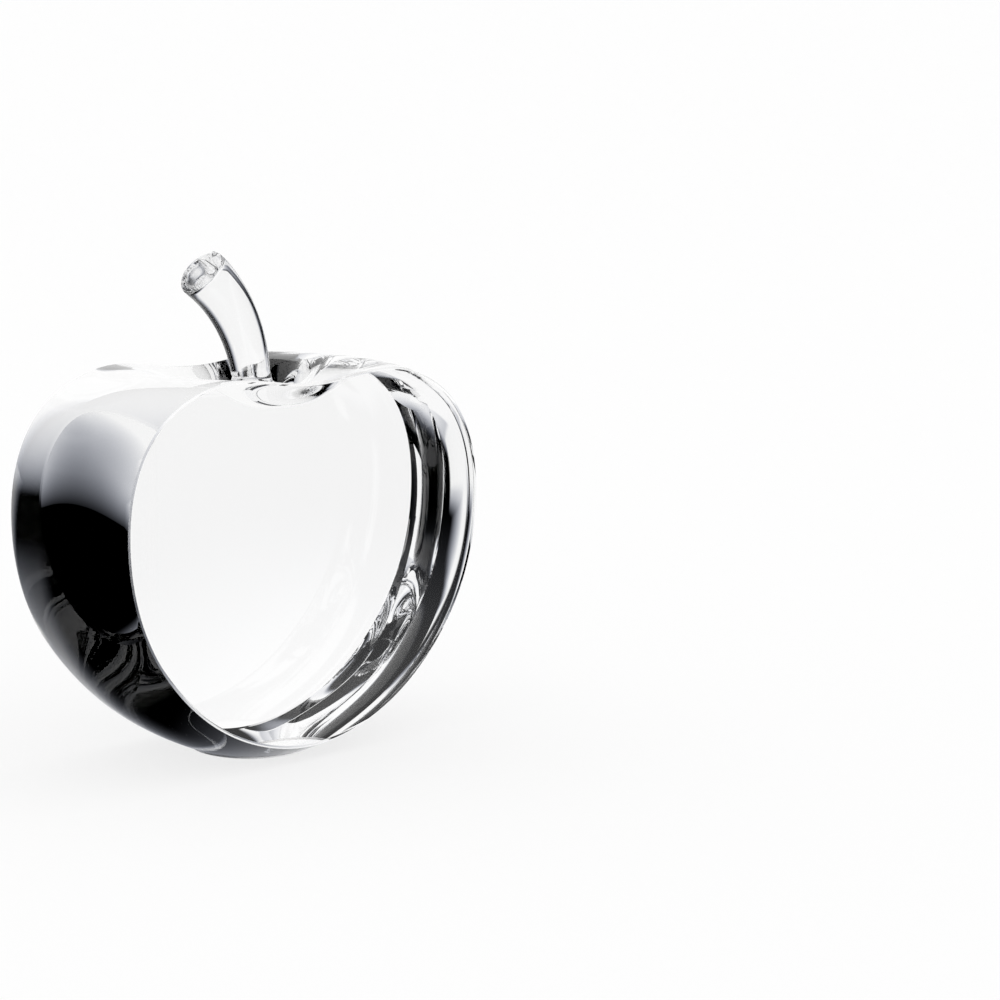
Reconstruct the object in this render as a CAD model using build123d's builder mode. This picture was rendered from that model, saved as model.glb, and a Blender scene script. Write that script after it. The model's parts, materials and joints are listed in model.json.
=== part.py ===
from build123d import *
import os
from math import cos, radians, sin

# Clear glass apple: a cut and polished solid body, a hot-drawn stem and the bond between them.
# Millimetres, +Z up, X across the width, front flat towards -Y, origin at the middle of the base.
os.makedirs("parts", exist_ok=True)

# Body: a turned apple, cut flat at front and back
apple_width = 99.0
slab_thickness = 38.0
base_diameter = 25.0
widest_height = 48.8
crest_height = 78.5
crest_diameter = 53.2
bowl_depth = 7.2
base_chamfer = 0.4

# Stem: a drawn glass rod on a pressed foot. It thickens upward, bends to -X and is sheared off at
# its end. The bend begins inside the foot, this far above the foot's underside.
foot_diameter = 10.4
foot_height = 3.7
neck_diameter = 7.9
neck_height = 1.6
bend_start = 1.2
bend_radius = 31.0
bend_angle = 52.0
end_diameter = 11.1

# Bond: a clear film under the foot, with the bead that squeezes out around it
bond_thickness = 0.15
bead_width = 0.6
floor_margin = 0.4

# Lower side from the base edge to the widest level: (share of the way out, share of the way up)
lower_side_shares = [(0.19, 0.062), (0.47, 0.197), (0.71, 0.384), (0.89, 0.612)]
base_edge_slope_shares = (1.0, 0.42)

# Shoulder from the widest level to the crest: (share of the way in, share of the way up)
shoulder_shares = [(0.073, 0.438), (0.274, 0.725), (0.611, 0.923)]

# Bowl from the crest down to its floor: (share of the way in, share of the way down)
bowl_shares = [(0.38, 0.23), (0.72, 0.70)]
floor_edge_slope_shares = (-1.0, -0.16)

# The foot narrows to this share of the neck inside the rod, where it ends
neck_inside_share = 0.88
neck_slope_shares = (-0.25, 1.0)

# The sheared end: (degrees about the stem from its outer side, degrees of tilt,
# distance of the cut from the end's centre as a share of the end's diameter)
end_cut_shares = [
    (180.0, 5.0, 0.09),
    (52.0, 24.0, 0.205),
    (118.0, 34.0, 0.28),
    (186.0, 22.0, 0.185),
    (250.0, 38.0, 0.31),
    (312.0, 28.0, 0.235),
]
end_overrun_share = 0.25
stem_sections = 6

half_width = apple_width / 2
half_thickness = slab_thickness / 2
base_radius = base_diameter / 2
crest_radius = crest_diameter / 2
bowl_floor_height = crest_height - bowl_depth
foot_radius = foot_diameter / 2
neck_radius = neck_diameter / 2
floor_radius = foot_radius + bead_width + floor_margin


def between(low, high, share):
    """The value this share of the way from low to high."""
    return low + (high - low) * share


# Body
base_edge = (base_radius + base_chamfer, base_chamfer)
widest_point = (half_width, widest_height)
crest_point = (crest_radius, crest_height)
floor_edge = (floor_radius, bowl_floor_height)

lower_side = [
    (between(base_radius, half_width, out), between(base_chamfer, widest_height, up))
    for out, up in lower_side_shares
]
shoulder = [
    (between(half_width, crest_radius, inward), between(widest_height, crest_height, up))
    for inward, up in shoulder_shares
]
bowl = [
    (between(crest_radius, floor_radius, inward), between(crest_height, bowl_floor_height, down))
    for inward, down in bowl_shares
]

with BuildPart() as apple_body:
    with BuildSketch(Plane.XZ):
        with BuildLine():
            Polyline((0, 0), (base_radius, 0), base_edge)
            Spline(
                base_edge,
                *lower_side,
                widest_point,
                tangents=[base_edge_slope_shares, (0, 1)],
            )
            Spline(widest_point, *shoulder, crest_point, tangents=[(0, 1), (-1, 0)])
            Spline(crest_point, *bowl, floor_edge, tangents=[(-1, 0), floor_edge_slope_shares])
            Line(floor_edge, (0, bowl_floor_height))
            Line((0, bowl_floor_height), (0, 0))
        make_face()
    revolve(axis=Axis.Z)
    split(bisect_by=Plane.XZ.offset(half_thickness), keep=Keep.BOTTOM)
    split(bisect_by=Plane.XZ.offset(-half_thickness), keep=Keep.TOP)
apple_body.part.label = "apple_body"


# Stem
foot_bottom = bowl_floor_height + bond_thickness
foot_top = foot_bottom + foot_height
neck_top = foot_top + neck_height
bend_bottom = foot_bottom + bend_start
neck_end = (neck_radius * neck_inside_share, neck_top)


def stem_plane(turn, beyond=0):
    """The plane square to the centre line where it has turned so far, moved on along it."""
    angle = radians(turn)
    along = Vector(-sin(angle), 0, cos(angle))
    centre = Vector(
        -bend_radius * (1 - cos(angle)),
        0,
        bend_bottom + bend_radius * sin(angle),
    )
    return Plane(origin=centre + along * beyond, x_dir=(cos(angle), 0, sin(angle)), z_dir=along)


def end_cut_plane(about, tilt, distance):
    """One flat of the sheared end, leaning outward on the side that is this far about the stem."""
    end = stem_plane(bend_angle)
    side = end.x_dir * cos(radians(about)) + end.y_dir * sin(radians(about))
    normal = end.z_dir * cos(radians(tilt)) + side * sin(radians(tilt))
    return Plane(origin=end.origin + normal * distance, z_dir=normal)


with BuildPart() as stem:
    for section in range(stem_sections):
        share = section / (stem_sections - 1)
        with BuildSketch(stem_plane(bend_angle * share)):
            Circle(between(neck_diameter, end_diameter, share) / 2)
    with BuildSketch(stem_plane(bend_angle, end_diameter * end_overrun_share)):
        Circle(end_diameter / 2)
    loft()
    for about, tilt, share in end_cut_shares:
        split(bisect_by=end_cut_plane(about, tilt, end_diameter * share), keep=Keep.BOTTOM)
    with BuildSketch(Plane.XZ):
        with BuildLine():
            Polyline(
                neck_end,
                (0, neck_top),
                (0, foot_bottom),
                (foot_radius, foot_bottom),
                (foot_radius, foot_top),
            )
            Spline((foot_radius, foot_top), neck_end, tangents=[(-1, 0), neck_slope_shares])
        make_face()
    revolve(axis=Axis.Z)
stem.part.label = "stem"


# Bond
bead_edge = (foot_radius + bead_width, bowl_floor_height)
bead_top = (foot_radius, foot_bottom + bead_width)

with BuildPart() as stem_bond:
    with BuildSketch(Plane.XZ):
        with BuildLine():
            Polyline(
                bead_top,
                (foot_radius, foot_bottom),
                (0, foot_bottom),
                (0, bowl_floor_height),
                bead_edge,
            )
            Spline(bead_edge, bead_top, tangents=[(-1, 0), (0, 1)])
        make_face()
    revolve(axis=Axis.Z)
stem_bond.part.label = "stem_bond"


for piece in (apple_body, stem, stem_bond):
    export_step(piece.part, f"parts/{piece.part.label}.step")
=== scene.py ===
# %% [markdown]
# # A clear glass apple
# This lesson dresses a finished set of solids for the picture. The apple is three pieces: a thick
# slab of clear crystal in the outline of an apple, a bent glass stem, and the clear bond between
# them. Clear glass has no colour of its own. All that the eye sees is bent or mirrored by its
# surfaces, so the work goes into even curves, crisp edges and the light around it.

# %% The frame
import json
from math import cos, exp, radians, sin, tau

import bmesh
import bpy
import numpy as np
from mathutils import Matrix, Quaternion, Vector

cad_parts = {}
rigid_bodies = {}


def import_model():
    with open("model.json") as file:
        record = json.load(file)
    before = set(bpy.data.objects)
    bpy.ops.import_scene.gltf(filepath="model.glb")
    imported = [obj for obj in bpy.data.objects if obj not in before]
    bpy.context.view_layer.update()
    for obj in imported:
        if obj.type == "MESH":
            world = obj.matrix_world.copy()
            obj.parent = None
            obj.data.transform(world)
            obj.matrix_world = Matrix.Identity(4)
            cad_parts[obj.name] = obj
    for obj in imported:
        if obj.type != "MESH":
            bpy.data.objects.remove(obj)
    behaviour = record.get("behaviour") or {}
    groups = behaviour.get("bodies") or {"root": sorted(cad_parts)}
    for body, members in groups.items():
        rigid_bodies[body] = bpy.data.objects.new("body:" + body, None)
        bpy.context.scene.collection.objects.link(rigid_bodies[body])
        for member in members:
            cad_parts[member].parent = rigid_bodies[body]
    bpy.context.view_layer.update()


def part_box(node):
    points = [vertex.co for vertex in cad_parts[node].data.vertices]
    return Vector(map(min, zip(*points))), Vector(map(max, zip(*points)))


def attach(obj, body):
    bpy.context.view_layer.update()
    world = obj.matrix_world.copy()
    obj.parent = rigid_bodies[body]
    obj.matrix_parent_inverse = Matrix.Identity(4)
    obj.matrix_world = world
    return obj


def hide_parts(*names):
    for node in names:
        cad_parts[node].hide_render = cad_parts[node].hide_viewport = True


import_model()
MM = 0.001

# %% [markdown]
# ## Sizes
# The places and main sizes come from the solids, so that every new piece sits where its solid is.
# What the boxes of the solids can't tell, such as the width of the ground base, is named here in
# millimetres.

# %% Sizes taken from the solids
body_low, body_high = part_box("apple_body")
stem_low, stem_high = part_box("stem")
bond_low, bond_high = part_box("stem_bond")

half_width = body_high.x
half_thickness = body_high.y
crest_height = body_high.z
floor_height = bond_low.z
foot_bottom = stem_low.z
foot_radius = stem_high.x
bead_radius = bond_high.x
bead_top = bond_high.z

base_radius = 12.5 * MM
base_chamfer = 0.4 * MM
widest_height = 48.8 * MM
crest_radius = 26.6 * MM
floor_radius = 6.2 * MM
print("half the width is", round(half_width / MM, 2), "mm")
print("the bowl's floor is at", round(floor_height / MM, 2), "mm")

# %% [markdown]
# ## The camera
# The camera comes first. It stands low, to the left of the apple's front, and far away behind a
# long lens. The apple is left of the middle of the picture, so the camera is first aimed at the
# apple and is then turned about its own axes until the apple is in its place.

# %% The camera
CAMERA_AZIMUTH = -40.09
CAMERA_ELEVATION = 10.23
CAMERA_DISTANCE = 553.4 * MM
CAMERA_LENS = 97.1
CAMERA_CLIP = 0.01
AIM_HEIGHT = 42.1 * MM
TURN_RIGHT = 5.26
TURN_UP = 0.91

to_camera = Vector((
    sin(radians(CAMERA_AZIMUTH)) * cos(radians(CAMERA_ELEVATION)),
    -cos(radians(CAMERA_AZIMUTH)) * cos(radians(CAMERA_ELEVATION)),
    sin(radians(CAMERA_ELEVATION)),
))
aim = Vector((0, 0, AIM_HEIGHT))
bpy.ops.object.camera_add(location=aim + to_camera * CAMERA_DISTANCE)
camera = bpy.context.object
camera.name = "camera"
camera.data.lens = CAMERA_LENS
camera.data.clip_start = CAMERA_CLIP
camera.rotation_mode = "QUATERNION"
camera.rotation_quaternion = (
    (-to_camera).to_track_quat("-Z", "Y")
    @ Quaternion((0, 1, 0), radians(-TURN_RIGHT))
    @ Quaternion((1, 0, 0), radians(TURN_UP))
)
bpy.context.scene.camera = camera
print("camera at", [round(place / MM) for place in camera.location], "mm")

# %% [markdown]
# ## Helpers for modelling by hand
# Every operator acts on what is selected. These helpers start a piece with nothing else selected,
# pick parts of it by their place, and finish it: doubles merged, faces turned outward, its object
# at the origin and its place in its mesh.

# %% Helpers that start and select
def start_piece(name):
    """Names the new primitive and opens it alone in edit mode."""
    piece = bpy.context.object
    piece.name = piece.data.name = name
    bpy.ops.object.mode_set(mode="EDIT")
    return piece


def start_outline(name, first_point):
    """A mesh of one vertex, a plane merged to its middle, ready to be extruded into an outline."""
    bpy.ops.object.select_all(action="DESELECT")
    bpy.ops.mesh.primitive_plane_add(size=MM, location=first_point)
    piece = start_piece(name)
    bpy.ops.mesh.merge(type="CENTER")
    return piece


def extrude_outline(points):
    """Draws on from the selected vertex through these points, each (radius, height)."""
    for (r0, z0), (r1, z1) in zip(points, points[1:]):
        step = (r1 - r0, 0, z1 - z0)
        bpy.ops.mesh.extrude_vertices_move(TRANSFORM_OT_translate={"value": step})


def select(piece, wanted, kind="FACE"):
    """Selects, in edit mode, only the faces or vertices that the test picks."""
    bpy.ops.mesh.select_mode(type=kind)
    bpy.ops.mesh.select_all(action="DESELECT")
    mesh = bmesh.from_edit_mesh(piece.data)
    parts = mesh.faces if kind == "FACE" else mesh.verts
    for part in parts:
        if wanted(part):
            part.select_set(True)
    mesh.select_flush_mode()
    bmesh.update_edit_mesh(piece.data)


# %% [markdown]
# A solid that light passes through has to be closed, or the renderer can't tell inside from
# outside. So each finished piece is checked: two faces have to meet at every edge.

# %% Helpers that finish and check
MERGE = 0.002 * MM


def edge_uses(mesh):
    """How many faces meet at each edge."""
    uses = np.zeros(len(mesh.edges), int)
    edge_of_corner = np.zeros(len(mesh.loops), int)
    mesh.loops.foreach_get("edge_index", edge_of_corner)
    np.add.at(uses, edge_of_corner, 1)
    return uses


def finish_piece(piece, sharp_angle):
    """Closes the seams, turns the faces outward, shades the piece and settles it at the origin."""
    bpy.ops.mesh.select_mode(type="VERT")
    bpy.ops.mesh.select_all(action="SELECT")
    bpy.ops.mesh.remove_doubles(threshold=MERGE)
    bpy.ops.mesh.normals_make_consistent(inside=False)
    bpy.ops.object.mode_set(mode="OBJECT")
    bpy.ops.object.transform_apply(location=True, rotation=True, scale=True)
    bpy.ops.object.shade_smooth_by_angle(angle=radians(sharp_angle))
    open_edges = sum(count != 2 for count in edge_uses(piece.data))
    print(piece.name, len(piece.data.polygons), "faces,", open_edges, "open edges")


# %% [markdown]
# ## The outline of the apple
# The body is turned before it is cut, so its shape is one outline. A polished outline has no
# kinks, and glass would show the smallest one as a broken reflection. So the points are joined by
# a single curve whose slope and curvature run on evenly through every point.

# %% A curve with even curvature
def even_curve(points, start_slope, end_slope, steps):
    """Points along a curve through these points, with given directions at its two ends."""
    through = np.array(points, float)
    spans = np.hypot(*np.diff(through, axis=0).T)
    last = len(through) - 1
    rows = np.eye(last + 1)
    wanted = np.zeros((last + 1, 2))
    wanted[0] = np.array(start_slope) / np.hypot(*start_slope)
    wanted[last] = np.array(end_slope) / np.hypot(*end_slope)
    for i in range(1, last):
        before, after = spans[i - 1], spans[i]
        rows[i, i - 1 : i + 2] = 1 / before, 2 / before + 2 / after, 1 / after
        climb = (through[i] - through[i - 1]) / before**2
        climb_on = (through[i + 1] - through[i]) / after**2
        wanted[i] = 3 * (climb + climb_on)
    slopes = np.linalg.solve(rows, wanted)
    curve = []
    for i, span in enumerate(spans):
        for t in np.arange(steps) / steps:
            place = (2 * t**3 - 3 * t**2 + 1) * through[i] + (3 * t**2 - 2 * t**3) * through[i + 1]
            bend = (t**3 - 2 * t**2 + t) * slopes[i] + (t**3 - t**2) * slopes[i + 1]
            curve.append(tuple(place + bend * span))
    return curve + [tuple(through[last])]


def between(low, high, share):
    """The value this share of the way from low to high."""
    return low + (high - low) * share


# %% [markdown]
# The points are kept as shares of the main sizes: out and up from the base to the widest level,
# in and up to the crest, and in and down to the floor of the bowl. When a size changes, the points
# go with it, and the apple keeps its character.

# %% The outline's points
LOWER_SIDE_SHARES = [(0.19, 0.062), (0.47, 0.197), (0.71, 0.384), (0.89, 0.612)]
SHOULDER_SHARES = [(0.073, 0.438), (0.274, 0.725), (0.611, 0.923)]
BOWL_SHARES = [(0.38, 0.23), (0.72, 0.70)]
BASE_SLOPE = (1.0, 0.42)
FLOOR_SLOPE = (-1.0, -0.16)
OUTLINE_STEPS = 11
OVERSHOOT = 0.02 * MM  # the curve swings this far past its widest point

base_edge = (base_radius + base_chamfer, base_chamfer)
outline_points = [base_edge]
for out, up in LOWER_SIDE_SHARES:
    outline_points.append((between(base_radius, half_width, out),
                           between(base_chamfer, widest_height, up)))
outline_points.append((half_width - OVERSHOOT, widest_height))
for inward, up in SHOULDER_SHARES:
    outline_points.append((between(half_width, crest_radius, inward),
                           between(widest_height, crest_height, up)))
outline_points.append((crest_radius, crest_height))
for inward, down in BOWL_SHARES:
    outline_points.append((between(crest_radius, floor_radius, inward),
                           between(crest_height, floor_height, down)))
outline_points.append((floor_radius, floor_height))
outline = even_curve(outline_points, BASE_SLOPE, FLOOR_SLOPE, OUTLINE_STEPS)
print("outline of", len(outline), "points from", len(outline_points), "chosen ones")

# %% [markdown]
# ## Turning the body
# The outline is drawn point by point and spun once round. The flat base and the flat floor of the
# bowl get a few rings, because one fan of long thin triangles shades badly in glass.

# %% Turning the body
SPIN_STEPS = 288
FLAT_RINGS = 4

base_line = [(base_radius * ring / FLAT_RINGS, 0) for ring in range(FLAT_RINGS + 1)]
floor_line = [(bead_radius * (1 - ring / FLAT_RINGS), floor_height)
              for ring in range(FLAT_RINGS + 1)]
apple = start_outline("apple", (0, 0, 0))
extrude_outline(base_line + outline + floor_line)
bpy.ops.mesh.select_all(action="SELECT")
bpy.ops.mesh.spin(steps=SPIN_STEPS, angle=tau, center=(0, 0, 0), axis=(0, 0, 1))
bpy.ops.mesh.select_all(action="SELECT")
bpy.ops.mesh.remove_doubles(threshold=MERGE)
print("turned body:", len(bmesh.from_edit_mesh(apple.data).faces), "faces")

# %% [markdown]
# ## Cutting and polishing the flats
# The front and the back are sawn flat and polished, and the polisher takes the sharp edge off: a
# narrow bevel, the arris, runs round each flat and catches a thin line of light. A Bevel on a
# sawn edge of many short steps would be ragged. So each cut is made a little outside the flat,
# and its face is inset and then pushed out to the flat, which leaves an even bevel all round.

# %% Cutting and polishing the flats
ARRIS = 0.3 * MM
CUT_MERGE = 0.001 * MM
SQUARE_ON = 0.999  # a sawn face looks straight along Y
FLAT_AREA = 1000 * MM**2  # only the sawn faces are larger
BODY_SHARP = 15

for side in (-1, 1):
    cut_at = side * (half_thickness - ARRIS)
    bpy.ops.mesh.select_all(action="SELECT")
    bpy.ops.mesh.bisect(
        plane_co=(0, cut_at, 0), plane_no=(0, side, 0), use_fill=True, clear_outer=True,
        threshold=CUT_MERGE,
    )
    select(apple, lambda face: abs(face.normal.y) > SQUARE_ON and face.calc_area() > FLAT_AREA)
    bpy.ops.mesh.inset(thickness=ARRIS, depth=0)
    bpy.ops.transform.translate(value=(0, side * ARRIS, 0))
finish_piece(apple, BODY_SHARP)
print("flats at", round(min(v.co.y for v in apple.data.vertices) / MM, 2), "and",
      round(max(v.co.y for v in apple.data.vertices) / MM, 2), "mm")

# %% [markdown]
# ## The stem
# The stem was drawn out of a hot rod of glass: pressed into a round foot at the bottom, pulled
# thin just above it, bent over while soft and sheared off. The piece starts as the foot's ring and
# grows by extruding that ring upward. Along the bend each new ring is turned about the middle of
# the bend and widened a little.

# %% Sizes of the stem
RING_STEPS = 120
FOOT_SHARES = (0.25, 0.5, 0.75, 1)
FOOT_HEIGHT = 3.7 * MM
FOOT_ROUND = 0.45 * MM
FOOT_TURN = (0, 70)
NECK_RADIUS = 3.95 * MM
NECK_HEIGHT = 1.5 * MM
HOLLOW_TURN = (-100, -180)
BEND_START = 1.2 * MM
BEND_RADIUS = 31.0 * MM
BEND_ANGLE = 52.0
END_RADIUS = 5.55 * MM
CORNER_STEPS = 6
HOLLOW_STEPS = 10
BEND_STEPS = 48

foot_top = foot_bottom + FOOT_HEIGHT
bend_centre = Vector((-BEND_RADIUS, 0, foot_bottom + BEND_START))


def corner(middle, reach, start, end, steps):
    """Points (radius, height) round a corner, from one angle to another."""
    angles = [radians(between(start, end, step / steps)) for step in range(steps + 1)]
    return [(middle[0] + reach[0] * cos(a), middle[1] + reach[1] * sin(a)) for a in angles]


def stack_rings(rings):
    """Extrudes the selected ring up through these (radius, height) pairs, centred on the axis."""
    for (r0, z0), (r1, z1) in zip(rings, rings[1:]):
        bpy.ops.mesh.extrude_edges_move(TRANSFORM_OT_translate={"value": (0, 0, z1 - z0)})
        bpy.ops.transform.resize(value=(r1 / r0, r1 / r0, 1), center_override=(0, 0, z1))


print("the bend's middle is at", [round(place / MM, 1) for place in bend_centre], "mm")

# %% [markdown]
# The foot's flank is straight, its upper edge is a soft round, and a hollow curve leads from there
# in to the neck. All of it is one list of radii and heights. The turns of its curves are angles in
# degrees.

# %% The foot and the neck
rings = [(foot_radius * share, foot_bottom) for share in FOOT_SHARES]
rings.append((foot_radius, bead_top))
rings += corner((foot_radius - FOOT_ROUND, foot_top - FOOT_ROUND),
                (FOOT_ROUND, FOOT_ROUND), *FOOT_TURN, CORNER_STEPS)
hollow_radius, hollow_bottom = rings[-1]
rings += corner((hollow_radius, foot_top + NECK_HEIGHT),
                (hollow_radius - NECK_RADIUS, foot_top + NECK_HEIGHT - hollow_bottom),
                *HOLLOW_TURN, HOLLOW_STEPS)[1:]
neck_top = rings[-1][1]

bpy.ops.object.select_all(action="DESELECT")
bpy.ops.mesh.primitive_circle_add(
    vertices=RING_STEPS, radius=rings[0][0], fill_type="TRIFAN", location=(0, 0, foot_bottom)
)
stem_piece = start_piece("stem_rod")
select(stem_piece, lambda vertex: vertex.co.xy.length > rings[0][0] / 2, kind="VERT")
bpy.ops.mesh.select_mode(type="EDGE")
stack_rings(rings)

turn_at_neck = np.degrees(np.arcsin((neck_top - bend_centre.z) / BEND_RADIUS))
print("the neck ends where the bend has turned", round(float(turn_at_neck), 1), "degrees")

# %% [markdown]
# The first ring of the bend has to lean as the bend does there. It is turned about its own middle
# and moved onto the centre line. After that, every step is the same small turn about the middle
# of the bend.

# %% Round the bend
def centre_at(turn):
    """The middle of the stem where the bend has turned this far, in degrees."""
    angle = radians(turn)
    return bend_centre + BEND_RADIUS * Vector((cos(angle), 0, sin(angle)))


def radius_at(turn):
    """The stem's radius there. It widens evenly from the neck to the sheared end."""
    return between(NECK_RADIUS, END_RADIUS, turn / BEND_ANGLE)


step_turn = (BEND_ANGLE - turn_at_neck) / BEND_STEPS
first_centre = centre_at(turn_at_neck + step_turn)
bpy.ops.mesh.extrude_edges_move(TRANSFORM_OT_translate={"value": (0, 0, 0)})
bpy.ops.transform.translate(value=first_centre - Vector((0, 0, neck_top)))
bpy.ops.transform.rotate(
    value=radians(turn_at_neck + step_turn), orient_axis="Y", center_override=first_centre
)
for step in range(2, BEND_STEPS + 1):
    turn = turn_at_neck + step_turn * step
    bpy.ops.mesh.extrude_edges_move(TRANSFORM_OT_translate={"value": (0, 0, 0)})
    bpy.ops.transform.rotate(
        value=radians(step_turn), orient_axis="Y", center_override=bend_centre
    )
    widen = radius_at(turn) / radius_at(turn - step_turn)
    bpy.ops.transform.resize(value=(widen, widen, widen), center_override=centre_at(turn))
print("the rod ends at", [round(place / MM, 1) for place in centre_at(BEND_ANGLE)], "mm")

# %% [markdown]
# ## The sheared end
# Shears leave a scar: a shallow scoop with a sharp lip, a slanting facet above it and a nub where
# the last thread of glass tore off. The rod first gets a softly rounded rim and a fine net of
# rings across its end, so that there are enough points to shape.

# %% The rim and the net of rings
RIM_HEIGHT = 1.5 * MM
RIM_ROUND = 0.5 * MM
RIM_STEPS = 7
NET_RINGS = 30

end_centre = centre_at(BEND_ANGLE)
along = Vector((-sin(radians(BEND_ANGLE)), 0, cos(radians(BEND_ANGLE))))
outward = Vector((cos(radians(BEND_ANGLE)), 0, sin(radians(BEND_ANGLE))))

rim = [(END_RADIUS, 0)]
rim += corner((END_RADIUS - RIM_ROUND, RIM_HEIGHT - RIM_ROUND), (RIM_ROUND, RIM_ROUND),
              0, 90, RIM_STEPS)
rim += [((END_RADIUS - RIM_ROUND) * (1 - ring / NET_RINGS), RIM_HEIGHT)
        for ring in range(1, NET_RINGS)]
for (r0, z0), (r1, z1) in zip(rim, rim[1:]):
    bpy.ops.mesh.extrude_edges_move(TRANSFORM_OT_translate={"value": along * (z1 - z0)})
    narrow = r1 / r0
    bpy.ops.transform.resize(value=(narrow,) * 3, center_override=end_centre + along * z1)
bpy.ops.mesh.edge_face_add()
print("the end has", len(rim), "rings of", RING_STEPS, "points")

# %% [markdown]
# Each point of the net will be raised or lowered along the rod. The scar is a sum of simple
# shapes, which is easier to adjust than points moved by hand. Places on the end are written as
# (up, back): up is towards the outer side of the bend, back is away from the front. All of it is
# in millimetres. The lip is a ridge, given by the directions across it and along it.

# %% The form of the scar
BULGE = 0.5
SCOOP_PLACE = (-1.1, 0.5)
SCOOP_DEPTH = 1.9
SCOOP_SIDES = (0.8, 3.0)
ACROSS_LIP = (0.94, -0.34)
ALONG_LIP = (0.34, 0.94)
LIP_LINE = 1.5
LIP_MIDDLE = -0.2
LIP_ENDS = (1.6, 3.8)
LIP_HEIGHT = 1.0
LIP_WIDTH = 0.6
NUB = (0.9, 4.5, -0.6, 0.25)  # its height, its place up and back, and its spread
PITS = [(-0.35, 2.2, 2.1, 0.3), (-0.35, -2.1, 3.6, 0.4)]
SLANT_DEPTH = 0.4
SLANT_REACH = (-2.0, 5.5)


def soft(low, high, value):
    """Rises smoothly from 0 to 1 while the value goes from low to high."""
    share = min(max((value - low) / (high - low), 0), 1)
    return share * share * (3 - 2 * share)


def scar(up, back):
    """How far the end stands out at this place."""
    out = (up * up + back * back) ** 0.5
    bulge = BULGE * (1 - (out / (END_RADIUS / MM)) ** 2)
    from_scoop = ((up - SCOOP_PLACE[0]) ** 2 + (back - SCOOP_PLACE[1]) ** 2) ** 0.5
    scoop = -SCOOP_DEPTH * (1 - soft(*SCOOP_SIDES, from_scoop))
    across = ACROSS_LIP[0] * up + ACROSS_LIP[1] * back - LIP_LINE
    aside = ALONG_LIP[0] * up + ALONG_LIP[1] * back - LIP_MIDDLE
    lip = LIP_HEIGHT * exp(-((across / LIP_WIDTH) ** 2)) * (1 - soft(*LIP_ENDS, abs(aside)))
    spots = sum(height * exp(-((up - at_up) ** 2 + (back - at_back) ** 2) / spread)
                for height, at_up, at_back, spread in (NUB, *PITS))
    return bulge + scoop + lip + spots


def slant(up):
    """How far the shears cut the upper part of the end back, as a height below zero."""
    return -SLANT_DEPTH * soft(*SLANT_REACH, up)


print("the scoop's middle lies at", round(scar(*SCOOP_PLACE) + slant(SCOOP_PLACE[0]), 2), "mm")

# %% [markdown]
# The points are found by how far they stand along the rod. The slant takes back the whole upper
# part. The rest of the scar dies out towards the rim, which stays round.

# %% Pressing the scar into the end
NET_FROM = 0.5 * RIM_HEIGHT
SETTLES = (4.9, 5.5)
STEM_SHARP = 40

mesh = bmesh.from_edit_mesh(stem_piece.data)
heights = []
for vertex in mesh.verts:
    place = stem_piece.location + vertex.co - end_centre
    if place.dot(along) > NET_FROM:
        up, back = place.dot(outward) / MM, place.y / MM
        settled = 1 - soft(*SETTLES, (up * up + back * back) ** 0.5)
        height = slant(up) + scar(up, back) * settled
        heights.append(height)
        vertex.co += along * height * MM
bmesh.update_edit_mesh(stem_piece.data)
print(len(heights), "points moved by", round(min(heights), 2), "to", round(max(heights), 2), "mm")
finish_piece(stem_piece, STEM_SHARP)

# %% [markdown]
# ## The bond
# A drop of clear adhesive holds the foot in the bowl. It is a thin film under the foot, and what
# is squeezed out stands around the foot as a small bead with a hollow flank. Its section is one
# closed line, so it is drawn and spun, as the body was.

# %% The bond
BOND_SHARP = 30

bond = start_outline("bond_bead", (0, 0, floor_height))
flank = corner((bead_radius, bead_top), (bead_radius - foot_radius, bead_top - floor_height),
               -90, -180, CORNER_STEPS)
film_line = [(foot_radius * share, foot_bottom) for share in (*FOOT_SHARES[::-1], 0)]
bond_line = [(bead_radius * ring / FLAT_RINGS, floor_height) for ring in range(FLAT_RINGS)]
extrude_outline(bond_line + flank + film_line)
bpy.ops.mesh.select_all(action="SELECT")
bpy.ops.mesh.spin(steps=RING_STEPS, angle=tau, center=(0, 0, 0), axis=(0, 0, 1))
finish_piece(bond, BOND_SHARP)


# %% [markdown]
# ## Shader nodes
# Materials and lights are built from nodes. These helpers make a node with its values in one line,
# do one step of arithmetic, and fade smoothly from one value to another.

# %% Helpers for shader nodes
def add_node(tree, kind, values=None, **settings):
    """A new node with its settings and its input values; a socket given as a value is linked."""
    node = tree.nodes.new("ShaderNode" + kind)
    for key, value in settings.items():
        setattr(node, key, value)
    for key, value in (values or {}).items():
        if isinstance(value, bpy.types.NodeSocket):
            tree.links.new(value, node.inputs[key])
        else:
            node.inputs[key].default_value = value
    return node


def calc(tree, operation, *values):
    """One step of arithmetic on numbers and sockets."""
    return add_node(tree, "Math", dict(enumerate(values)), operation=operation).outputs[0]


def fade(tree, value, start, end, low=0.0, high=1.0, curve="SMOOTHSTEP"):
    """Goes from low to high while the value goes from start to end, smoothly unless told how."""
    return add_node(
        tree, "MapRange",
        {"Value": value, "From Min": start, "From Max": end, "To Min": low, "To Max": high},
        interpolation_type=curve,
    ).outputs["Result"]


# %% [markdown]
# ## The glass
# Polished glass is smooth, but never perfectly even. The polisher leaves waves a few thousandths of
# a millimetre high on the crystal, and drawing out the rod leaves fine cords that run along it. The
# base is only ground, so it is matt and a little uneven, the scoop of the shears is torn and partly
# matt, and the bead of the bond set with small ripples. Each of these is noise worked out in the
# piece's own coordinates, so that it stays on the piece.

# %% Helpers for glass
NOISE_DETAIL = 2


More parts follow.
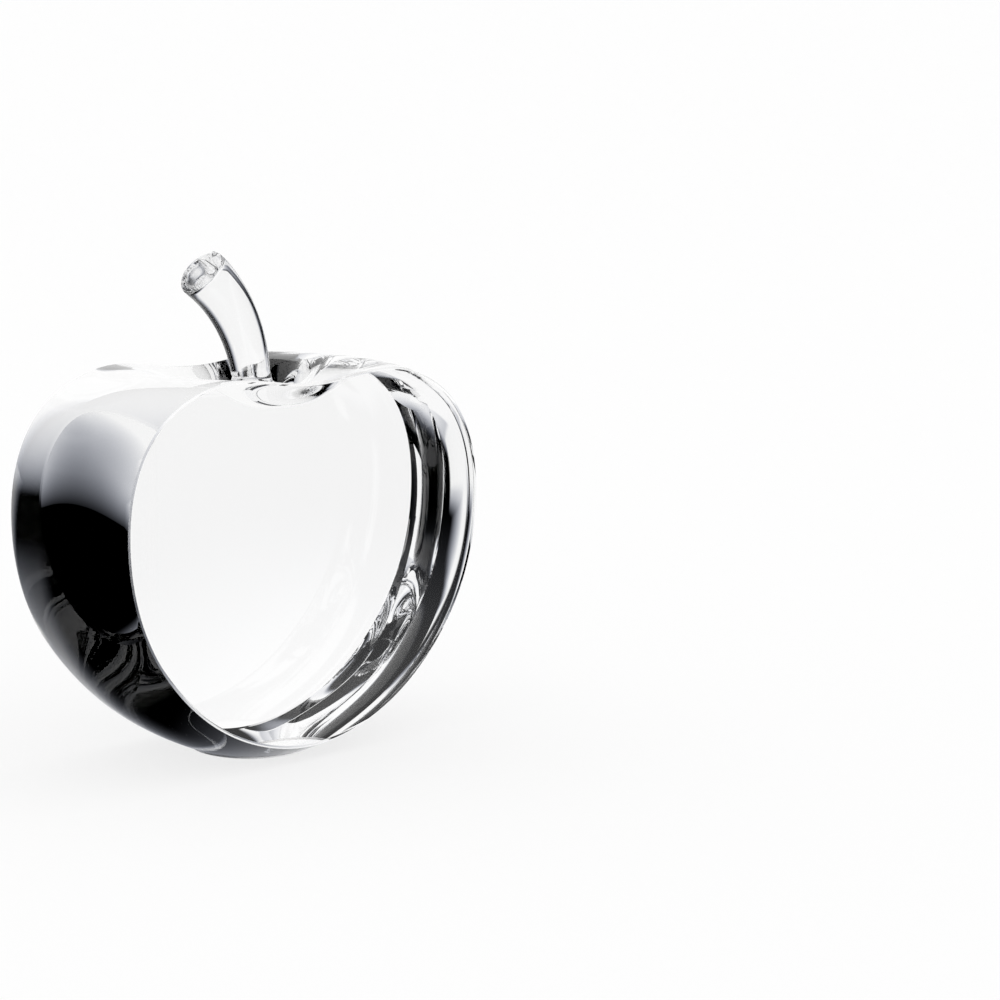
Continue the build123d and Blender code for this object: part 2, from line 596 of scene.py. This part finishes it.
def glass(name, ior):
    """A clear glass material."""
    material = bpy.data.materials.new(name)
    material.use_nodes = True
    shader = material.node_tree.nodes["Principled BSDF"]
    shader.inputs["Base Color"].default_value = (1, 1, 1, 1)
    shader.inputs["Transmission Weight"].default_value = 1
    shader.inputs["Roughness"].default_value = 0
    shader.inputs["IOR"].default_value = ior
    return material


def uneven(material, place, size, height):
    """Makes the surface wavy, with waves of this size and height in metres; returns the noise."""
    tree = material.node_tree
    noise = add_node(
        tree, "TexNoise", {"Vector": place, "Scale": 1 / size, "Detail": NOISE_DETAIL}
    )
    bump = add_node(tree, "Bump", {"Height": noise.outputs["Fac"], "Distance": height})
    tree.links.new(bump.outputs["Normal"], tree.nodes["Principled BSDF"].inputs["Normal"])
    return noise.outputs["Fac"]


def make_matt(material, noise, reach, roughness):
    """Lets the roughness rise between these two values as the noise rises through its reach."""
    tree = material.node_tree
    amount = fade(tree, noise, *reach, *roughness)
    tree.links.new(amount, tree.nodes["Principled BSDF"].inputs["Roughness"])


def own_place(tree):
    """The place on the piece, in its own coordinates."""
    return add_node(tree, "TexCoord").outputs["Object"]


# %% [markdown]
# The cords follow the rod round its bend. So the place on the stem is worked out as if the rod
# were straight: the distance from the middle of the bend, the place across, and the angle along
# the bend. The angle counts for little, which draws the noise out into cords.

# %% The place along the rod
CORD_STRETCH = 2.5 * MM  # how much a turn of one radian along the bend counts


def along_the_rod(tree):
    """The place on the stem as if the rod were straight, shortened along it to draw cords."""
    from_bend = add_node(
        tree, "VectorMath", {0: own_place(tree), 1: bend_centre}, operation="SUBTRACT"
    )
    part = add_node(tree, "SeparateXYZ", {"Vector": from_bend.outputs["Vector"]})
    x, z = part.outputs["X"], part.outputs["Z"]
    squares = calc(tree, "ADD", calc(tree, "POWER", x, 2), calc(tree, "POWER", z, 2))
    turn = calc(tree, "ARCTAN2", z, x)
    straight = {
        "X": calc(tree, "SQRT", squares),
        "Y": part.outputs["Y"],
        "Z": calc(tree, "MULTIPLY", turn, CORD_STRETCH),
    }
    return add_node(tree, "CombineXYZ", straight).outputs["Vector"]


# %% [markdown]
# Each finish is given the size and the height of its waves. A matt one is also given the reach of
# its noise, and the two values of roughness between which it changes. The bond bends light a
# little less than the glass does.

# %% The finishes
GLASS_INDEX = 1.52
BOND_INDEX = 1.5
POLISH_WAVES = (14 * MM, 0.0015 * MM)
ROD_CORDS = (1.8 * MM, 0.004 * MM)
BEAD_RIPPLES = (0.6 * MM, 0.01 * MM)
GROUND_GRAIN = (0.4 * MM, 0.004 * MM)
GROUND_MATT = ((0.3, 0.7), (0.25, 0.45))
TORN_GRAIN = (2 * MM, 0.1 * MM)
TORN_MATT = ((0.35, 0.65), (0.2, 0.4))

crystal = glass("crystal", GLASS_INDEX)
uneven(crystal, own_place(crystal.node_tree), *POLISH_WAVES)

stem_glass = glass("stem_glass", GLASS_INDEX)
uneven(stem_glass, along_the_rod(stem_glass.node_tree), *ROD_CORDS)

bond_clear = glass("bond", BOND_INDEX)
uneven(bond_clear, own_place(bond_clear.node_tree), *BEAD_RIPPLES)

ground = glass("ground_base", GLASS_INDEX)
grain = uneven(ground, own_place(ground.node_tree), *GROUND_GRAIN)
make_matt(ground, grain, *GROUND_MATT)

sheared = glass("sheared_end", GLASS_INDEX)
grain = uneven(sheared, own_place(sheared.node_tree), *TORN_GRAIN)
make_matt(sheared, grain, *TORN_MATT)

contact = bpy.data.materials.new("contact")
contact.use_nodes = True
tree = contact.node_tree
clear = add_node(tree, "BsdfTransparent")
tree.links.new(clear.outputs["BSDF"], tree.nodes["Material Output"].inputs["Surface"])
print("finishes:", [material.name for material in (crystal, stem_glass, bond_clear, ground,
                                                   sheared, contact)])

# %% [markdown]
# ## Giving the pieces their finishes
# Each piece stands for its solid. All of them ride on the same body, because nothing on the apple
# moves. The first finish covers the whole piece.

# %% The pieces and their slots
def paint(piece, material, wanted=None):
    """Gives the piece a material, on all its faces or on those that the test picks."""
    piece.data.materials.append(material)
    faces = [face for face in piece.data.polygons if wanted is None or wanted(face.center)]
    for face in faces:
        face.material_index = len(piece.data.materials) - 1
    print(piece.name, "has", material.name, "on", len(faces), "faces")


for piece, node, material, slot in (
    (apple, "apple_body", crystal, "crystal"),
    (stem_piece, "stem", stem_glass, "stem_glass"),
    (bond, "stem_bond", bond_clear, "bond"),
):
    piece.data.materials.clear()
    paint(piece, material)
    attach(piece, "root")
    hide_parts(node)

# %% [markdown]
# The base is ground and the scoop is torn, so their faces get finishes of their own. Where glass,
# bond and glass touch, light passes straight on, because the bond has nearly the index of the
# glass. Two clear surfaces a hair apart would mirror each other instead. So those faces get the
# contact finish, which lets light through unchanged.

# %% The ground base, the scoop and the contact faces
NEAR = 0.01 * MM
SCOOP_MIDDLE = end_centre + along * RIM_HEIGHT - outward * MM
SCOOP_RADIUS = 3.1 * MM
SCOOP_LOW = 0.2 * RIM_HEIGHT


def in_scoop(at):
    """On the torn part of the sheared end."""
    near_middle = (at - SCOOP_MIDDLE).length < SCOOP_RADIUS
    return near_middle and (at - end_centre).dot(along) > SCOOP_LOW


def under_bond(at):
    """On the bowl's floor, where the bond covers it."""
    return abs(at.z - floor_height) < NEAR and at.xy.length < bead_radius - NEAR


def against_glass(at):
    """On the bond, where it touches the bowl's floor or the foot."""
    return at.z < floor_height + NEAR or (at.xy.length < foot_radius + NEAR and at.z < bead_top)


paint(apple, ground, lambda at: at.z < base_chamfer - NEAR)
paint(apple, contact, under_bond)
paint(stem_piece, contact, lambda at: at.z < bead_top)
paint(stem_piece, sheared, in_scoop)
paint(bond, contact, against_glass)

# %% [markdown]
# ## The studio
# Clear glass only shows its surroundings, so the light is worked out backwards from the glass. The
# picture needs white straight behind the apple, which fills the front flat, and a dark room to
# both sides, which draws the black edges. A softbox overhead, tilted towards the camera, clears the
# bowl and the stem. A pool of light on the table fades away from the apple, and one graded card
# stands close behind it on the left; the flanks gather the light of both. Only rays that come from
# the glass see these areas. For the eye the table and the backdrop are white all over, and an even
# light falls on the table, which keeps the apple's shadow.

# %% Helpers for directions
def toward_back(tree, place, left, right):
    """1 in the sector behind the apple, 0 outside; left and right are where each edge fades."""
    to_left = calc(tree, "MULTIPLY", place.outputs["X"], -1)
    bearing = calc(tree, "DEGREES", calc(tree, "ARCTAN2", to_left, place.outputs["Y"]))
    left_edge = fade(tree, bearing, left[0], left[1], 1, 0)
    right_edge = fade(tree, bearing, -right[0], -right[1], 1, 0)
    return calc(tree, "MULTIPLY", left_edge, right_edge)


def turned(tree, vector):
    """The place or direction in the studio's own axes: Y leads straight away from the camera."""
    turn = add_node(
        tree, "Mapping", {"Vector": vector, "Rotation": (0, 0, radians(-CAMERA_AZIMUTH))}
    )
    return add_node(tree, "SeparateXYZ", {"Vector": turn.outputs["Vector"]})


# %% [markdown]
# The greys in the real glass lean a little towards blue, so what is only half lit in the studio
# has a trace of blue. What the glass sees and what the eye sees are two shaders, and the kind of
# ray chooses between them.

# %% Helpers for light
ROOM_GREY = (0.80, 0.85, 1.0, 1)


def room_colour(tree, brightness):
    """White where it is bright, a cool grey where it is not."""
    mix = add_node(tree, "Mix", {"Factor": brightness}, data_type="RGBA")
    mix.inputs["A"].default_value = ROOM_GREY
    mix.inputs["B"].default_value = (1, 1, 1, 1)
    return mix.outputs["Result"]


def seen_by_glass(tree):
    """1 for a ray that comes from glass, mirrored or bent, and 0 for all others."""
    rays = add_node(tree, "LightPath")
    return calc(tree, "MAXIMUM", rays.outputs["Is Glossy Ray"], rays.outputs["Is Transmission Ray"])


def mix_shaders(tree, share, first, second):
    """The first shader where the share is 0, the second where it is 1."""
    mix = add_node(tree, "MixShader", {"Fac": share})
    tree.links.new(first, mix.inputs[1])
    tree.links.new(second, mix.inputs[2])
    return mix.outputs["Shader"]


# %% [markdown]
# The table is one sheet of white paper that sweeps up behind the apple without an edge, as in a
# product studio. It is a plane whose far edge is extruded up along a large quarter round.

# %% The table and the backdrop
SWEEP_SIZE = 4.0
SWEEP_RADIUS = 1.0
SWEEP_STEPS = 24
SWEEP_TOP = 1.5

bpy.ops.object.select_all(action="DESELECT")
bpy.ops.mesh.primitive_plane_add(size=SWEEP_SIZE, location=(0, 0, 0))
table = start_piece("table")
select(table, lambda vertex: vertex.co.y > 0, kind="VERT")
bpy.ops.mesh.select_mode(type="EDGE")
for step in range(SWEEP_STEPS):
    before, after = (radians(90 * count / SWEEP_STEPS) for count in (step, step + 1))
    rise = SWEEP_RADIUS * (cos(before) - cos(after))
    run = SWEEP_RADIUS * (sin(after) - sin(before))
    bpy.ops.mesh.extrude_edges_move(TRANSFORM_OT_translate={"value": (0, run, rise)})
bpy.ops.mesh.extrude_edges_move(TRANSFORM_OT_translate={"value": (0, 0, SWEEP_TOP)})
bpy.ops.object.mode_set(mode="OBJECT")
bpy.ops.object.shade_smooth()
table.rotation_euler = (0, 0, radians(CAMERA_AZIMUTH))
print("the backdrop rises to", round(table.dimensions.z, 2), "m")

# %% [markdown]
# What the glass sees of the table is drawn in the table's own coordinates: a round pool of light
# beside the apple, a white sector behind it, and the dark in front of it, which comes closer on the
# left than on the right. The sector's edges are degrees from straight behind. On the left it is a
# little wider on the table than on the backdrop.

# %% What the glass sees of the table
BACK_LEFT = (28, 42)
TABLE_LEFT = (38, 50)
BACK_RIGHT = (22, 38)
POOL_CENTRE = (50 * MM, 0, 0)
POOL_FADE = (10 * MM, 280 * MM)
WALL_STARTS = (0, 50 * MM)
DARK_LEFT_EDGE = (-22 * MM, 8 * MM)
DARK_LEFT_SLANT = 0.25
DARK_FRONT_EDGE = (-70 * MM, -30 * MM)
LEFT_TO_RIGHT = (-20 * MM, 20 * MM)

table_white = bpy.data.materials.new("table_white")
table_white.use_nodes = True
tree = table_white.node_tree
place = add_node(tree, "SeparateXYZ", {"Vector": own_place(tree)})
across, away = place.outputs["X"], place.outputs["Y"]
on_table = add_node(tree, "CombineXYZ", {"X": across, "Y": away}).outputs["Vector"]
reach = add_node(
    tree, "VectorMath", {0: on_table, 1: POOL_CENTRE}, operation="DISTANCE"
).outputs["Value"]
pool = fade(tree, reach, *POOL_FADE, 1, 0)
behind = add_node(tree, "Mix", {
    "Factor": fade(tree, place.outputs["Z"], *WALL_STARTS),
    "A": toward_back(tree, place, TABLE_LEFT, BACK_RIGHT),
    "B": toward_back(tree, place, BACK_LEFT, BACK_RIGHT),
}).outputs["Result"]
slanted = calc(tree, "ADD", away, calc(tree, "MULTIPLY", across, DARK_LEFT_SLANT))
in_front = add_node(tree, "Mix", {
    "Factor": fade(tree, across, *LEFT_TO_RIGHT),
    "A": fade(tree, slanted, *DARK_LEFT_EDGE),
    "B": fade(tree, away, *DARK_FRONT_EDGE),
}).outputs["Result"]
lit = calc(tree, "MULTIPLY", calc(tree, "MAXIMUM", pool, behind), in_front)
glow = add_node(tree, "Emission", {"Color": room_colour(tree, lit), "Strength": lit})
print("the pool of light fades over", round(POOL_FADE[1] / MM), "mm")

# %% [markdown]
# The eye sees white paper. Three quarters of that is an even white, so that the paper stays white
# at its far end, and one quarter is lit paper, which shows the apple's soft shadow.

# %% What the eye sees of the table
PAPER_WHITE = (0.97, 0.97, 0.97, 1)
EVEN_WHITE = 0.75

paper = tree.nodes["Principled BSDF"]
paper.inputs["Base Color"].default_value = PAPER_WHITE
paper.inputs["Roughness"].default_value = 1
paper.inputs["Specular IOR Level"].default_value = 0
plain = add_node(tree, "Emission", {"Strength": 1.0})
rays = add_node(tree, "LightPath")
to_eye = calc(tree, "MULTIPLY", rays.outputs["Is Camera Ray"], EVEN_WHITE)
white = mix_shaders(tree, to_eye, paper.outputs["BSDF"], plain.outputs["Emission"])
table_shader = mix_shaders(tree, seen_by_glass(tree), white, glow.outputs["Emission"])
tree.links.new(table_shader, tree.nodes["Material Output"].inputs["Surface"])
table.data.materials.append(table_white)
print("the table's material has", len(tree.nodes), "nodes")

# %% [markdown]
# Above and beside the table is the room, drawn by direction: white behind the apple up to
# a certain height, the softbox overhead, and dark elsewhere. The softbox is all that lies within
# a cone whose axis leans from straight up towards the camera.

# %% The room
BACK_TOP = (28, 36)
OVERHEAD_TILT = 20
OVERHEAD_EDGE = (35, 29)

world = bpy.data.worlds.new("studio")
bpy.context.scene.world = world
world.use_nodes = True
tree = world.node_tree
place = turned(tree, add_node(tree, "TexCoord").outputs["Generated"])
height_up = calc(tree, "DEGREES", calc(tree, "ARCSINE", place.outputs["Z"]))
back = calc(tree, "MULTIPLY", toward_back(tree, place, BACK_LEFT, BACK_RIGHT),
            fade(tree, height_up, *BACK_TOP, 1, 0))
tilt = radians(OVERHEAD_TILT)
leaning = calc(tree, "SUBTRACT", calc(tree, "MULTIPLY", place.outputs["Z"], cos(tilt)),
               calc(tree, "MULTIPLY", place.outputs["Y"], sin(tilt)))
off_overhead = calc(tree, "DEGREES", calc(tree, "ARCCOSINE", leaning))
lit = calc(tree, "MAXIMUM", fade(tree, off_overhead, *OVERHEAD_EDGE), back)
room = add_node(tree, "Background", {"Color": room_colour(tree, lit), "Strength": lit})
even = tree.nodes["Background"]
even.inputs["Color"].default_value = (1, 1, 1, 1)
room_shader = mix_shaders(
    tree, seen_by_glass(tree), even.outputs["Background"], room.outputs["Background"]
)
tree.links.new(room_shader, tree.nodes["World Output"].inputs["Surface"])
print("the room's world has", len(tree.nodes), "nodes")

# %% [markdown]
# ## The graded card
# The left flank fades from white at the top to black. A small card that stands close behind the
# apple, on its left, makes that fade: the flank bends its light and shows it drawn out over most
# of its height. Neither the eye nor the table sees the card, and it casts no shadow.

# %% The card
CARD_BEARING = 68
CARD_DISTANCE = 62 * MM
CARD_FROM, CARD_TO = 0 * MM, 68 * MM
CARD_LOW, CARD_HIGH = 5 * MM, 57.5 * MM

bpy.ops.mesh.primitive_plane_add(size=1, location=(0, 0, 0))
card = bpy.context.object
card.name = "graded_card"
facing = radians(CARD_BEARING + CAMERA_AZIMUTH)
card_out = Vector((-sin(facing), cos(facing), 0))
card_side = Vector((cos(facing), sin(facing), 0))
card_middle = card_out * CARD_DISTANCE + card_side * (CARD_FROM + CARD_TO) / 2
card.location = card_middle + Vector((0, 0, (CARD_LOW + CARD_HIGH) / 2))
card.rotation_euler = (radians(90), 0, facing)
card.scale = (CARD_TO - CARD_FROM, CARD_HIGH - CARD_LOW, 1)
card.visible_camera = card.visible_diffuse = card.visible_shadow = False
print("the card stands at", [round(place / MM) for place in card.location], "mm")

# %% [markdown]
# The card's light is graded across it, dark on the left. Its foot and its right end are white, and
# its upper edge is dark. Both ends and the foot go over softly into what is behind them, because a
# hard edge of the card would show in the glass as a line.

# %% The card's light
CARD_ACROSS = (15 * MM, 50 * MM)
CARD_GRADE = 1.4
CARD_TOP_FADE = (50 * MM, 58.5 * MM)
CARD_FOOT_FADE = (36 * MM, 46 * MM)
CARD_END_FADE = (51 * MM, 60 * MM)
CARD_SOFT = 8 * MM

card_paper = bpy.data.materials.new("graded_card")
card_paper.use_nodes = True
tree = card_paper.node_tree
tree.nodes.remove(tree.nodes["Principled BSDF"])
place = add_node(tree, "SeparateXYZ", {"Vector": own_place(tree)})
level = calc(tree, "MULTIPLY_ADD", place.outputs["Y"],
             CARD_HIGH - CARD_LOW, (CARD_HIGH + CARD_LOW) / 2)
aside = calc(tree, "MULTIPLY_ADD", place.outputs["X"],
             CARD_TO - CARD_FROM, (CARD_TO + CARD_FROM) / 2)
graded = calc(tree, "POWER", fade(tree, aside, *CARD_ACROSS, curve="LINEAR"), CARD_GRADE)
lit = calc(tree, "MULTIPLY", graded, fade(tree, level, *CARD_TOP_FADE, 1, 0))
lit = calc(tree, "MAXIMUM", lit, fade(tree, level, *CARD_FOOT_FADE, 1, 0))
lit = calc(tree, "MAXIMUM", lit, fade(tree, aside, *CARD_END_FADE))
glow = add_node(tree, "Emission", {"Color": room_colour(tree, lit), "Strength": lit})
solid = calc(tree, "MULTIPLY", fade(tree, aside, CARD_FROM, CARD_FROM + CARD_SOFT),
             fade(tree, aside, CARD_TO, CARD_TO - CARD_SOFT))
solid = calc(tree, "MULTIPLY", solid, fade(tree, level, CARD_LOW, CARD_LOW + CARD_SOFT))
see_through = add_node(tree, "BsdfTransparent")
card_shader = mix_shaders(tree, solid, see_through.outputs["BSDF"], glow.outputs["Emission"])
tree.links.new(card_shader, tree.nodes["Material Output"].inputs["Surface"])
card.data.materials.append(card_paper)
print("the card's material has", len(tree.nodes), "nodes")

# %% [markdown]
# ## Settings for the picture
# A ray in a thick block of clear glass turns back inside many times before it leaves. With too few
# bounces it would end in black, so the limits are raised.

# %% Settings for the picture
GLASS_BOUNCES = 24

scene = bpy.context.scene
scene.view_settings.view_transform = "Standard"
scene.cycles.max_bounces = GLASS_BOUNCES
scene.cycles.transmission_bounces = GLASS_BOUNCES
scene.cycles.glossy_bounces = GLASS_BOUNCES
scene.cycles.transparent_max_bounces = GLASS_BOUNCES
print("a ray may turn", GLASS_BOUNCES, "times")
